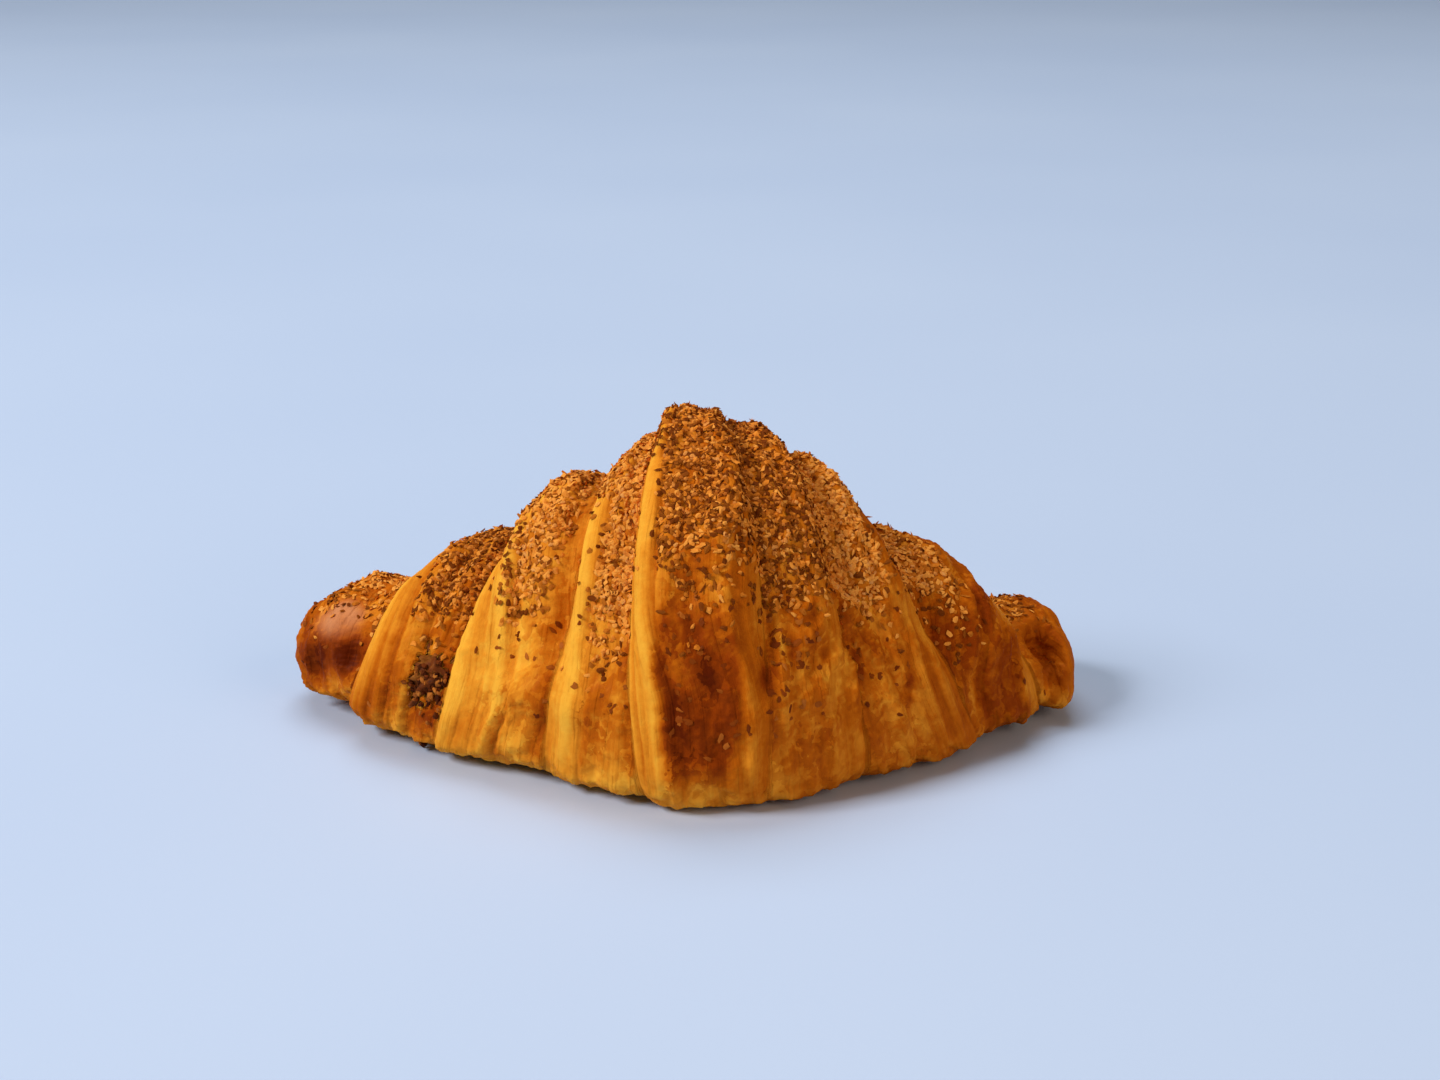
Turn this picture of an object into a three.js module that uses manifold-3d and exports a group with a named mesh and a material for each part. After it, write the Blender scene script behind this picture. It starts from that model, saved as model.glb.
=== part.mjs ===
// A croissant: a crescent roll of wrapped dough, strewn with dried herbs and filled with herb paste.
// Millimetres, +Z up. The bulging side faces -Y, and the base lies on Z = 0.

import * as THREE from 'three';
import { mergeVertices } from 'three/addons/utils/BufferGeometryUtils.js';
import Module from 'manifold-3d';

const wasm = await Module();
wasm.setup();

// Driving dimensions
const LENGTH = 160;
const MID_HALF_DEPTH = 38.1;
const MID_RISE = 51.9;
const AXIS_HEIGHT_MID = 16.6;
const AXIS_HEIGHT_TIP = 9.4;
const AXIS_HEIGHT_POWER = 1.3;
const HALF_LENGTH = LENGTH / 2;

// The roll's axis in plan: a rounded V with its bend towards -Y.
// Sections fan out square to the axis at the front, and by a share of that at the back.
// Over the stations of the square end, those of the right tip take that share at the front too.
const BEND_X = 2.74;
const BEND_Y = -3.45;
const BEND_DEPTH = 11.8;
const BEND_WIDTH = 21;
const BACK_FAN = 0.4;
const SQUARE_END = [60, 70];

// The wraps of each side, from the outermost turn in the middle to the tip.
// reach and slant are shares of the half length, depth and rise of those in the middle.
// slant is how far the edge runs out at the front of the base and back behind it.
// A higher shoulder gives a flatter crest and a steeper edge, less so at the front and back.
// tuck is how much a wrap draws in where it goes under the one before it.
const LEFT_WRAPS = [
  { reach: 0.12, slant: -0.05, depth: 1, rise: 1, shoulder: 6.5, tuck: 0 },
  { reach: 0.18, slant: 0.105, depth: 0.813, rise: 0.967, shoulder: 7.5, tuck: 0.07 },
  { reach: 0.366, slant: 0.226, depth: 0.712, rise: 0.784, shoulder: 11, tuck: 0.09 },
  { reach: 0.627, slant: 0.187, depth: 0.698, rise: 0.538, shoulder: 12, tuck: 0.12 },
  { reach: 0.999, slant: 0, depth: 0.534, rise: 0.331, shoulder: 8, tuck: 0.14 },
];
const RIGHT_WRAPS = [
  { reach: 0.109, slant: 0.003, depth: 1, rise: 1, shoulder: 7, tuck: 0 },
  { reach: 0.226, slant: 0.083, depth: 0.861, rise: 0.956, shoulder: 8.5, tuck: 0.02 },
  { reach: 0.311, slant: 0.338, depth: 0.745, rise: 0.881, shoulder: 11, tuck: 0.09 },
  { reach: 0.636, slant: 0.199, depth: 0.692, rise: 0.552, shoulder: 10, tuck: 0.12 },
  { reach: 0.935, slant: 0, depth: 0.517, rise: 0.202, shoulder: 30, tuck: 0.2 },
];
const SIDE_EASE = 0.25;
const WRAPS = LEFT_WRAPS.length;
const LEAST_BAND = 3;

// Towards the foot the valleys are filled by this share, up to a skin laid over the wraps' crests.
// The fill fades as the section rises, and ends at the edge of the last flush wrap.
const FLUSH = 0.75;
const FLUSH_RISE = [0.1, 0.65];
const FLUSH_LAST = 2;
const CREST_SHARE = 0.8;

// The cross-section: a round top on a boxy foot, rounded where it settles on the table.
// At the back no wrap is deeper than this share of the middle one's depth at the front.
const TOP_POWER = 1.95;
const FOOT_POWER = 3.8;
const FOOT_SHARE = 0.55;
const FOOT_ROUND = 4;
const FOOT_SETTLE = 1;
const BACK_DEPTH_MOST = 0.88;

// Where the edge of a wrap starts its turn, and the share of a turn before it comes back
const TURN_START = THREE.MathUtils.degToRad(-35);
const TURN_SHARE = 0.75;

// Unevenness of the crust: slow waves, and blisters over the sides and the top.
// A span is in shares of the half length, an angle starts at the front and turns over the top.
const WAVES = [
  { height: 0.45, turns: 3, along: 0.11, start: 0.7 },
  { height: 0.27, turns: 7, along: -0.23, start: 2.1 },
];
const BLISTERS = 46;
const BLISTER_SPAN = [-0.9, 0.9];
const BLISTER_ANGLES = [-0.2, Math.PI + 0.2];
const BLISTER_RADIUS = [2.2, 4.2];
const BLISTER_HEIGHT = [0.5, 1.1];

// The cupped end of the right tip, and the rolled rim of the left one.
// Stations are measured along X from the bend, negative to the left.
const CUP = { station: 65.8, angle: 0.34, length: 4.6, spread: 0.5, depth: 0.58 };
const RIM = { station: -69.5, angle: 0.1, length: 1.8, spread: 0.35, depth: 0.13 };
const HOLLOW_STEEPNESS = 2;

// The herb filling: a core along the axis, and a lump that swells out of a seam on the left
const CORE_RADIUS = 5;
const CORE_ENDS = [-58, 52];
const CORE_END_POWER = 8;
const LUMP_STATION = -40.3;
const LUMP_ANGLE = 0.1;
const LUMP_HALF_SIZE = new THREE.Vector3(12, 9.2, 8.6);
const LUMP_PROUD = 1.6;
const FILLING_GAP = 0.3;

// Herb flakes and seeds on the crust
const FLAKES = 104;
const FLAKE_TRIES = 4000;
const FLAKE_SPAN = [-0.92, 0.88];
const FLAKE_ANGLES = [0.1, Math.PI - 0.1];
const FLAKE_HALF_SIZE = new THREE.Vector3(1.7, 0.95, 0.7);
const FLAKE_SINK = 0.15;
const FLAKE_SPACING = 4.2;
const FLAKE_LOWEST = 24;
const FLAKE_STEEPEST = 0.5;
const SEED = 20261;

// Facets of the solids
const RINGS_PER_WRAP = 7;
const UPPER_COLUMNS = 28;
const LOWER_COLUMNS = 18;
const CORE_RINGS = 22;
const CORE_COLUMNS = 12;
const LUMP_RINGS = 12;
const HALVINGS = 40;
const MERGE_DISTANCE = 1e-4;

// A repeatable random draw between 0 and 1
function drawFrom(seed) {
  let state = seed;
  return () => {
    state = (Math.imul(state, 1664525) + 1013904223) >>> 0;
    return state / 2 ** 32;
  };
}

function between(range, share) {
  return THREE.MathUtils.lerp(range[0], range[1], share);
}

function wrapsOf(station) {
  return station < 0 ? LEFT_WRAPS : RIGHT_WRAPS;
}

// The axis at a station: its place, and its slope in plan
function axisAt(station) {
  const root = Math.hypot(1, station / BEND_WIDTH);
  const slope = (BEND_DEPTH * station) / (BEND_WIDTH ** 2 * root);
  const tipReach = HALF_LENGTH * wrapsOf(station)[WRAPS - 1].reach;
  const share = Math.min(Math.abs(station) / tipReach, 1) ** AXIS_HEIGHT_POWER;
  const height = THREE.MathUtils.lerp(AXIS_HEIGHT_MID, AXIS_HEIGHT_TIP, share);
  const place = new THREE.Vector3(BEND_X + station, BEND_Y + BEND_DEPTH * (root - 1), height);
  return { place, slope };
}

// How far along its slant a wrap's edge is at an angle of the section, from 1 to -1
function slantAt(angle) {
  const turn = THREE.MathUtils.euclideanModulo((angle - TURN_START) / (2 * Math.PI), 1);
  if (turn < TURN_SHARE) {
    return 1 - (2 * turn) / TURN_SHARE;
  }
  return -1 + (2 * (turn - TURN_SHARE)) / (1 - TURN_SHARE);
}

// The distance from the middle at which each wrap of a side ends, at an angle of the section
function edgesAt(wraps, angle) {
  const slant = slantAt(angle);
  const edges = [];
  let least = 0;
  for (const wrap of wraps) {
    const edge = Math.max(HALF_LENGTH * (wrap.reach + wrap.slant * slant), least);
    edges.push(edge);
    least = edge + LEAST_BAND;
  }
  return edges;
}

function sectionRadius(wrap, angle) {
  const isFront = Math.cos(angle) >= 0;
  const depth = isFront ? wrap.depth : Math.min(wrap.depth, BACK_DEPTH_MOST);
  const across = Math.abs(Math.cos(angle)) / (MID_HALF_DEPTH * depth);
  const isTop = Math.sin(angle) >= 0;
  const rise = isTop ? MID_RISE * wrap.rise : MID_HALF_DEPTH * wrap.depth * FOOT_SHARE;
  const power = isTop ? TOP_POWER : FOOT_POWER;
  const up = Math.abs(Math.sin(angle)) / rise;
  return (across ** power + up ** power) ** (-1 / power);
}

// The radius of wrap k of a side: full at the crest, tucked in under the wrap before, gone at its edge
function wrapRadius(wraps, edges, k, distance, angle) {
  const share = Math.min(distance / edges[k], 1);
  const steepness = wraps[k].shoulder * (1 - SIDE_EASE * Math.cos(angle) ** 2);
  const inner = k === 0 ? 0 : edges[k - 1];
  const back = THREE.MathUtils.clamp((edges[k] - distance) / (edges[k] - inner), 0, 1);
  const tuck = 1 - wraps[k].tuck * back ** 2;
  return sectionRadius(wraps[k], angle) * Math.sqrt(1 - share ** steepness) * tuck;
}

// The radius of a skin laid over the crests of a side's wraps
function skinRadius(wraps, edges, distance, angle) {
  let radius = sectionRadius(wraps[0], angle);
  for (let k = 1; k < WRAPS; k += 1) {
    const rise = sectionRadius(wraps[k], angle) - sectionRadius(wraps[k - 1], angle);
    const from = CREST_SHARE * edges[k - 1];
    const to = CREST_SHARE * edges[k];
    radius += rise * THREE.MathUtils.clamp((distance - from) / (to - from), 0, 1);
  }
  return radius;
}

function bareRadius(station, angle) {
  const wraps = wrapsOf(station);
  const edges = edgesAt(wraps, angle);
  const distance = Math.abs(station);
  const radius = Math.max(...wraps.map((wrap, k) => wrapRadius(wraps, edges, k, distance, angle)));
  const low = 1 - THREE.MathUtils.smoothstep(Math.sin(angle), ...FLUSH_RISE);
  const lastEdge = edges[FLUSH_LAST];
  const within = 1 - THREE.MathUtils.smoothstep(distance, CREST_SHARE * lastEdge, lastEdge);
  const gap = Math.max(skinRadius(wraps, edges, distance, angle) - radius, 0);
  return radius + FLUSH * low * within * gap;
}

// The distances at which each wrap of a side meets the next one, and the end of the tip
function valleysAt(wraps, angle) {
  const edges = edgesAt(wraps, angle);
  const valleys = [];
  let inner = 0;
  for (let k = 0; k < WRAPS - 1; k += 1) {
    let low = inner;
    let high = edges[k];
    for (let step = 0; step < HALVINGS; step += 1) {
      const middle = (low + high) / 2;
      const here = wrapRadius(wraps, edges, k, middle, angle);
      const next = wrapRadius(wraps, edges, k + 1, middle, angle);
      if (here > next) {
        low = middle;
      } else {
        high = middle;
      }
    }
    inner = Math.max(low, inner + LEAST_BAND / 2);
    valleys.push(inner);
  }
  valleys.push(edges[WRAPS - 1]);
  return valleys;
}

// A round patch about a station and an angle, from 1 in its middle to 0 far away.
// A steepness above 1 gives it a flatter middle and steeper sides.
function patch(station, angle, spot, steepness = 1) {
  const along = (station - spot.station) / spot.length;
  const turn = Math.atan2(Math.sin(angle - spot.angle), Math.cos(angle - spot.angle));
  const far = along ** 2 + (turn / spot.spread) ** 2;
  return Math.exp(-(far ** steepness));
}

function makeBlisters() {
  const draw = drawFrom(SEED);
  const blisters = [];
  for (let k = 0; k < BLISTERS; k += 1) {
    const station = HALF_LENGTH * between(BLISTER_SPAN, draw());
    const angle = between(BLISTER_ANGLES, draw());
    const radius = between(BLISTER_RADIUS, draw());
    const height = between(BLISTER_HEIGHT, draw());
    const spread = radius / bareRadius(station, angle);
    blisters.push({ station, angle, length: radius, spread, height });
  }
  return blisters;
}

const blisters = makeBlisters();

// How far the waves and blisters lift the crust
function relief(station, angle) {
  let height = 0;
  for (const wave of WAVES) {
    height += wave.height * Math.sin(wave.turns * angle + wave.along * station + wave.start);
  }
  for (const blister of blisters) {
    height += blister.height * patch(station, angle, blister);
  }
  return height;
}

function crustRadius(station, angle) {
  const bare = bareRadius(station, angle);
  const cup = CUP.depth * patch(station, angle, CUP, HOLLOW_STEEPNESS);
  const rim = RIM.depth * patch(station, angle, RIM, HOLLOW_STEEPNESS);
  const fade = Math.min(bare / AXIS_HEIGHT_TIP, 1);
  return bare * (1 - cup - rim) + fade * relief(station, angle);
}

function pointAt(station, angle, radius) {
  const { place, slope } = axisAt(station);
  const sideways = radius * Math.cos(angle);
  const square = THREE.MathUtils.smoothstep(station, ...SQUARE_END);
  const frontFan = THREE.MathUtils.lerp(1, BACK_FAN, square);
  const fan = slope * (sideways > 0 ? frontFan : BACK_FAN);
  const front = new THREE.Vector3(fan, -1, 0).normalize();
  const point = place.clone().addScaledVector(front, sideways);
  const height = point.z + radius * Math.sin(angle);
  const rounded = (height + Math.hypot(height, FOOT_ROUND)) / 2;
  point.z = Math.max(rounded - FOOT_SETTLE, 0);
  return point;
}

function crustPoint(station, angle) {
  return pointAt(station, angle, crustRadius(station, angle));
}

// The outward direction of the crust, from two short steps on it
function crustNormal(station, angle) {
  const stepAlong = 0.4;
  const stepRound = 0.02;
  const along = crustPoint(station + stepAlong, angle).sub(crustPoint(station - stepAlong, angle));
  const round = crustPoint(station, angle + stepRound).sub(crustPoint(station, angle - stepRound));
  return along.cross(round).normalize();
}

// A closed skin: the rows of a sphere's grid run from pole to pole, and each of its points is moved
function closedSkin(rows, columns, place) {
  const geometry = new THREE.SphereGeometry(1, columns, rows);
  const position = geometry.attributes.position;
  for (let k = 0; k < position.count; k += 1) {
    const row = Math.floor(k / (columns + 1));
    const column = (k % (columns + 1)) % columns;
    const point = place(row, column);
    position.setXYZ(k, point.x, point.y, point.z);
  }
  return geometry;
}

function columnAngle(column) {
  if (column <= UPPER_COLUMNS) {
    return (Math.PI * column) / UPPER_COLUMNS;
  }
  return Math.PI + (Math.PI * (column - UPPER_COLUMNS)) / LOWER_COLUMNS;
}

// The station of a row of the crust's grid: rows follow the valleys between the wraps
function rowStation(row, angle) {
  const middleRow = WRAPS * RINGS_PER_WRAP;
  const count = Math.abs(row - middleRow);
  if (count === 0) {
    return 0;
  }
  const wraps = row < middleRow ? LEFT_WRAPS : RIGHT_WRAPS;
  const valleys = valleysAt(wraps, angle);
  const k = Math.floor((count - 1) / RINGS_PER_WRAP);
  const share = (count - k * RINGS_PER_WRAP) / RINGS_PER_WRAP;
  const eased = k === WRAPS - 1 ? Math.sin((share * Math.PI) / 2) : share;
  const inner = k === 0 ? 0 : valleys[k - 1];
  return Math.sign(row - middleRow) * between([inner, valleys[k]], eased);
}

function crustSkin() {
  const columns = UPPER_COLUMNS + LOWER_COLUMNS;
  return closedSkin(2 * WRAPS * RINGS_PER_WRAP, columns, (row, column) => {
    const angle = columnAngle(column);
    return crustPoint(rowStation(row, angle), angle);
  });
}

// The core of the filling, grown by a gap for the hollow that holds it
function coreSkin(gap) {
  return closedSkin(CORE_RINGS, CORE_COLUMNS, (row, column) => {
    const run = -Math.cos((Math.PI * row) / CORE_RINGS);
    const ends = [CORE_ENDS[0] - gap, CORE_ENDS[1] + gap];
    const station = between(ends, (run + 1) / 2);
    const radius = (CORE_RADIUS + gap) * Math.sqrt(Math.max(1 - run ** CORE_END_POWER, 0));
    return pointAt(station, (2 * Math.PI * column) / CORE_COLUMNS, radius);
  });
}

// The lump of filling at the seam, with its long axis from the core to just outside the crust
function lumpSkin(gap) {
  const outer = crustPoint(LUMP_STATION, LUMP_ANGLE);
  const { place } = axisAt(LUMP_STATION);
  const outward = outer.clone().sub(place).normalize();
  const sideways = new THREE.Vector3().crossVectors(new THREE.Vector3(0, 0, 1), outward).normalize();
  const upward = new THREE.Vector3().crossVectors(outward, sideways);
  const centre = outer.clone().addScaledVector(outward, LUMP_PROUD - LUMP_HALF_SIZE.x);
  const half = LUMP_HALF_SIZE.clone().addScalar(gap);
  const frame = new THREE.Matrix4().makeBasis(outward, sideways, upward);
  frame.scale(half).setPosition(centre);
  return new THREE.SphereGeometry(1, CORE_COLUMNS, LUMP_RINGS).applyMatrix4(frame);
}

// Whether the crust is level enough along the roll for a flake to lie on it
function isLevel(station, angle) {
  const half = FLAKE_HALF_SIZE.x;
  const rise = crustRadius(station + half, angle) - crustRadius(station - half, angle);
  return Math.abs(rise) < FLAKE_STEEPEST * 2 * half;
}

// Places for the flakes: drawn over the upper crust, kept if clear of those before
function flakePlaces() {
  const draw = drawFrom(SEED + 1);
  const places = [];
  const lump = crustPoint(LUMP_STATION, LUMP_ANGLE);
  const clearOfLump = LUMP_HALF_SIZE.z + FLAKE_SPACING;
  for (let tries = 0; places.length < FLAKES && tries < FLAKE_TRIES; tries += 1) {
    const station = HALF_LENGTH * between(FLAKE_SPAN, draw());
    const angle = between(FLAKE_ANGLES, draw());
    const turn = between([0, Math.PI], draw());
    const point = crustPoint(station, angle);
    const normal = crustNormal(station, angle);
    const lowest = FLAKE_LOWEST * (1 - (station / HALF_LENGTH) ** 2);
    const isClear = places.every((other) => other.point.distanceTo(point) > FLAKE_SPACING);
    const isHigh = point.z > lowest && normal.z > 0;
    if (isClear && isHigh && isLevel(station, angle) && point.distanceTo(lump) > clearOfLump) {
      places.push({ point, normal, turn });
    }
  }
  return places;
}

function flakeSkin({ point, normal, turn }) {
  const upright = new THREE.Quaternion().setFromUnitVectors(new THREE.Vector3(0, 0, 1), normal);
  const spin = new THREE.Quaternion().setFromAxisAngle(new THREE.Vector3(0, 0, 1), turn);
  const centre = point.clone().addScaledVector(normal, -FLAKE_SINK);
  const frame = new THREE.Matrix4().compose(centre, upright.multiply(spin), FLAKE_HALF_SIZE);
  return new THREE.IcosahedronGeometry(1, 0).applyMatrix4(frame);
}

// A closed geometry as a solid that can be joined and cut
function solidOf(geometry) {
  geometry.deleteAttribute('normal');
  geometry.deleteAttribute('uv');
  const merged = mergeVertices(geometry, MERGE_DISTANCE);
  const vertProperties = new Float32Array(merged.attributes.position.array);
  const corners = merged.index.array;
  const kept = [];
  for (let k = 0; k < corners.length; k += 3) {
    const [a, b, c] = [corners[k], corners[k + 1], corners[k + 2]];
    if (a !== b && b !== c && c !== a) {
      kept.push(a, b, c);
    }
  }
  const triVerts = new Uint32Array(kept);
  return new wasm.Manifold(new wasm.Mesh({ numProp: 3, vertProperties, triVerts }));
}

function geometryOf(solid) {
  const mesh = solid.getMesh();
  const geometry = new THREE.BufferGeometry();
  geometry.setAttribute('position', new THREE.BufferAttribute(mesh.vertProperties, 3));
  geometry.setIndex(new THREE.BufferAttribute(mesh.triVerts, 1));
  return geometry;
}

function nodeMesh(name, solid, color, roughness) {
  const material = new THREE.MeshStandardMaterial({ color, roughness, metalness: 0 });
  const mesh = new THREE.Mesh(geometryOf(solid), material);
  mesh.geometry.computeVertexNormals();
  mesh.name = name;
  return mesh;
}

function makeCroissant() {
  let solid = solidOf(crustSkin());
  for (const place of flakePlaces()) {
    solid = solid.add(solidOf(flakeSkin(place)));
  }
  const hollow = solidOf(coreSkin(FILLING_GAP)).add(solidOf(lumpSkin(FILLING_GAP)));
  return solid.subtract(hollow);
}

function makeFilling() {
  return solidOf(coreSkin(0)).add(solidOf(lumpSkin(0)));
}

const croissant = new THREE.Group();
croissant.add(nodeMesh('croissant', makeCroissant(), 0xc8741f, 0.6));
croissant.add(nodeMesh('herb_filling', makeFilling(), 0x4a2c12, 0.85));

export default croissant;
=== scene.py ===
# A croissant with a middle band and four wraps a side, strewn with dried herbs, with herb paste
# swelling out of a seam on the left. The form repeats the solid's own sizes, and the finer relief,
# the toppings and the looks are added here.

import math
from collections import namedtuple

import bmesh
import bpy
import numpy as np
from mathutils import Matrix, Vector


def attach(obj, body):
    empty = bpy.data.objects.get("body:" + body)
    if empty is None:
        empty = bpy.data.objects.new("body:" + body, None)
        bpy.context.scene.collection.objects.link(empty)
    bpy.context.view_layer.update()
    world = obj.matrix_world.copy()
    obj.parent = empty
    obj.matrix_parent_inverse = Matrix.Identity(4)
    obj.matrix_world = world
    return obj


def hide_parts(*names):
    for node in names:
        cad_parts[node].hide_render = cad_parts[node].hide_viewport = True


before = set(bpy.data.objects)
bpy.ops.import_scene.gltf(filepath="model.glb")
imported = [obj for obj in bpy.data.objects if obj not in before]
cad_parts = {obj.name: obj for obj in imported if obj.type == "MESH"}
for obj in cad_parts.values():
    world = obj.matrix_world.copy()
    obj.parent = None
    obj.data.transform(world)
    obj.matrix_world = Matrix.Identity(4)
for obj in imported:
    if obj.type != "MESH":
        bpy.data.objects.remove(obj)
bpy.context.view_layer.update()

# Sizes are in millimetres, as in the solid, and turn to metres as a mesh is made
MM = 0.001
SEED = 20261
TINY = 1e-9

# The roll: its axis, its cross-section, the slant of its wraps' edges, and the fill of its valleys
HALF_LENGTH = 80.0
MID_HALF_DEPTH = 38.1
MID_RISE = 51.9
AXIS_HEIGHT_MID = 16.6
AXIS_HEIGHT_TIP = 9.4
AXIS_HEIGHT_POWER = 1.3
BEND_X = 2.74
BEND_Y = -3.45
BEND_DEPTH = 11.8
BEND_WIDTH = 21.0
BACK_FAN = 0.4
SQUARE_END = (60.0, 70.0)
TOP_POWER = 1.95
FOOT_POWER = 3.8
FOOT_SHARE = 0.55
FOOT_ROUND = 4.0
FOOT_SETTLE = 1.0
BACK_DEPTH_MOST = 0.88
TURN_START = math.radians(-35)
TURN_SHARE = 0.75
LEAST_BAND = 3.0
SIDE_EASE = 0.25
FLUSH = 0.75
FLUSH_RISE = (0.1, 0.65)
FLUSH_LAST = 2
CREST_SHARE = 0.8
HALVINGS = 40

# The wraps of each side, from the middle to the tip
Wrap = namedtuple("Wrap", "reach slant depth rise shoulder tuck")
LEFT_WRAPS = (
    Wrap(reach=0.12, slant=-0.05, depth=1.0, rise=1.0, shoulder=6.5, tuck=0.0),
    Wrap(reach=0.18, slant=0.105, depth=0.813, rise=0.967, shoulder=7.5, tuck=0.07),
    Wrap(reach=0.366, slant=0.226, depth=0.712, rise=0.784, shoulder=11.0, tuck=0.09),
    Wrap(reach=0.627, slant=0.187, depth=0.698, rise=0.538, shoulder=12.0, tuck=0.12),
    Wrap(reach=0.999, slant=0.0, depth=0.534, rise=0.331, shoulder=8.0, tuck=0.14),
)
RIGHT_WRAPS = (
    Wrap(reach=0.109, slant=0.003, depth=1.0, rise=1.0, shoulder=7.0, tuck=0.0),
    Wrap(reach=0.226, slant=0.083, depth=0.861, rise=0.956, shoulder=8.5, tuck=0.02),
    Wrap(reach=0.311, slant=0.338, depth=0.745, rise=0.881, shoulder=11.0, tuck=0.09),
    Wrap(reach=0.636, slant=0.199, depth=0.692, rise=0.552, shoulder=10.0, tuck=0.12),
    Wrap(reach=0.935, slant=0.0, depth=0.517, rise=0.202, shoulder=30.0, tuck=0.2),
)
TIP = len(LEFT_WRAPS) - 1

# Slow unevenness of the crust, and its blisters
Wave = namedtuple("Wave", "height turns along start")
WAVES = (Wave(0.45, 3, 0.11, 0.7), Wave(0.27, 7, -0.23, 2.1))
BLISTERS = 46
BLISTER_SPAN = (-0.9, 0.9)
BLISTER_ANGLES = (-0.2, math.pi + 0.2)
BLISTER_RADIUS = (2.2, 4.2)
BLISTER_HEIGHT = (0.5, 1.1)

# A spot on the crust: its place along the roll and round it, its length, its spread and its amount.
# The first are the hollows of the two ends, and the next are where painted shade darkens those hollows.
Spot = namedtuple("Spot", "station angle length spread amount")
CUP = Spot(65.8, 0.34, 4.6, 0.5, amount=0.58)
RIM = Spot(-69.5, 0.1, 1.8, 0.35, amount=0.13)
CUP_PAINTED_SHADE = Spot(65.0, 0.38, 6.4, 0.64, amount=1.0)
RIM_PAINTED_SHADE = Spot(-69.5, 0.1, 1.8, 0.35, amount=0.35)
HOLLOW_STEEPNESS = 2

# The herb filling
CORE_RADIUS = 5.0
CORE_ENDS = (-58.0, 52.0)
CORE_END_POWER = 8
LUMP_STATION = -40.3
LUMP_ANGLE = 0.1
LUMP_HALF_SIZE = (12.0, 9.2, 8.6)
LUMP_PROUD = 1.6
FILLING_GAP = 0.3

# Rows of the crust's grid in each wrap from the middle out, and its columns round the section
RINGS = (22, 30, 38, 42, 44)
EDGE_CROWD = 1.3
MIDDLE_ROW = sum(RINGS)
COLUMNS = 270
COLUMN_SHARES = (0.0, 0.06, 0.17, 0.5, 0.83, 0.94, 1.0)
COLUMN_DEGREES = (-90, -35, 0, 90, 180, 215, 270)

# How each wrap is baked, from 0, pale, to 1, dark: at its root, on its crest and on its cut edge.
# border is the share of the wrap at which the cut edge starts. low is the share of the height down
# to which herbs lie thick, and the next field is how much lighter they are there: partly their own
# tone, and on the shaded right side partly painted light. gloss is the shine of the crest, herbs the
# share of the wrap, from its root, that has herbs, and bare_root the share before they start.
Finish = namedtuple(
    "Finish", "root crest edge border low toast gloss herbs bare_root", defaults=(0.03, 1.0, 0.0))
LEFT_FINISHES = (
    Finish(root=0.66, crest=0.66, edge=0.22, border=0.52, low=0.58, toast=-0.2),
    Finish(root=0.44, crest=0.32, edge=0.12, border=0.52, low=0.4, toast=0.42),
    Finish(root=0.44, crest=0.2, edge=0.1, border=0.6, low=0.5, toast=0.28, bare_root=0.3),
    Finish(root=0.56, crest=0.44, edge=0.36, border=0.6, low=0.6, toast=-0.18, herbs=0.6),
    Finish(root=0.45, crest=0.58, edge=0.58, border=0.9, low=0.7, toast=0.6, gloss=0.05, herbs=0.7),
)
RIGHT_FINISHES = (
    Finish(root=0.66, crest=0.66, edge=0.42, border=0.58, low=0.58, toast=-0.2),
    Finish(root=0.56, crest=0.53, edge=0.45, border=0.62, low=0.5, toast=-0.26),
    Finish(root=0.52, crest=0.44, edge=0.5, border=0.6, low=0.5, toast=0.5),
    Finish(root=0.56, crest=0.56, edge=0.2, border=0.78, low=0.66, toast=0.36, gloss=0.0, herbs=0.42),
    Finish(root=0.36, crest=0.6, edge=0.46, border=0.75, low=0.74, toast=0.05, herbs=0.6),
)

# Patches that are baked more, or less where the amount is below 0: on the crests and on the cut edges.
# The one in the small hollow of the left end is painted shade there.
BAKE_SPOTS = (
    Spot(0.4, 0.12, 6.4, 0.46, amount=0.27),
    Spot(1.0, 0.75, 8.0, 0.24, amount=-0.2),
    Spot(2.0, -0.42, 12.0, 0.26, amount=-0.7),
    Spot(46.0, 0.25, 12.0, 0.45, amount=0.14),
    Spot(-60.6, 0.26, 8.0, 0.3, amount=0.55),
    Spot(-62.0, -0.2, 8.0, 0.22, amount=-0.16),
    # Painted shade in the small hollow of the left end
    Spot(-69.5, 0.1, 2.4, 0.3, amount=0.5),
    Spot(72.5, 0.3, 2.2, 0.6, amount=-0.2),
    Spot(67.0, -0.32, 6.0, 0.26, amount=-0.6),
    Spot(-20.0, -0.2, 16.0, 0.22, amount=0.1),
    Spot(9.0, 0.4, 1.6, 0.36, amount=-0.16),
)
EDGE_SPOTS = (
    Spot(-61.0, -0.1, 9.0, 0.55, amount=0.3),
    Spot(-46.0, -0.3, 7.0, 0.35, amount=0.2),
    Spot(-22.0, -0.2, 16.0, 0.22, amount=0.1),
    Spot(17.0, 0.36, 5.0, 0.4, amount=0.02),
    Spot(34.0, 0.75, 6.0, 0.35, amount=-0.16),
)
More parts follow.
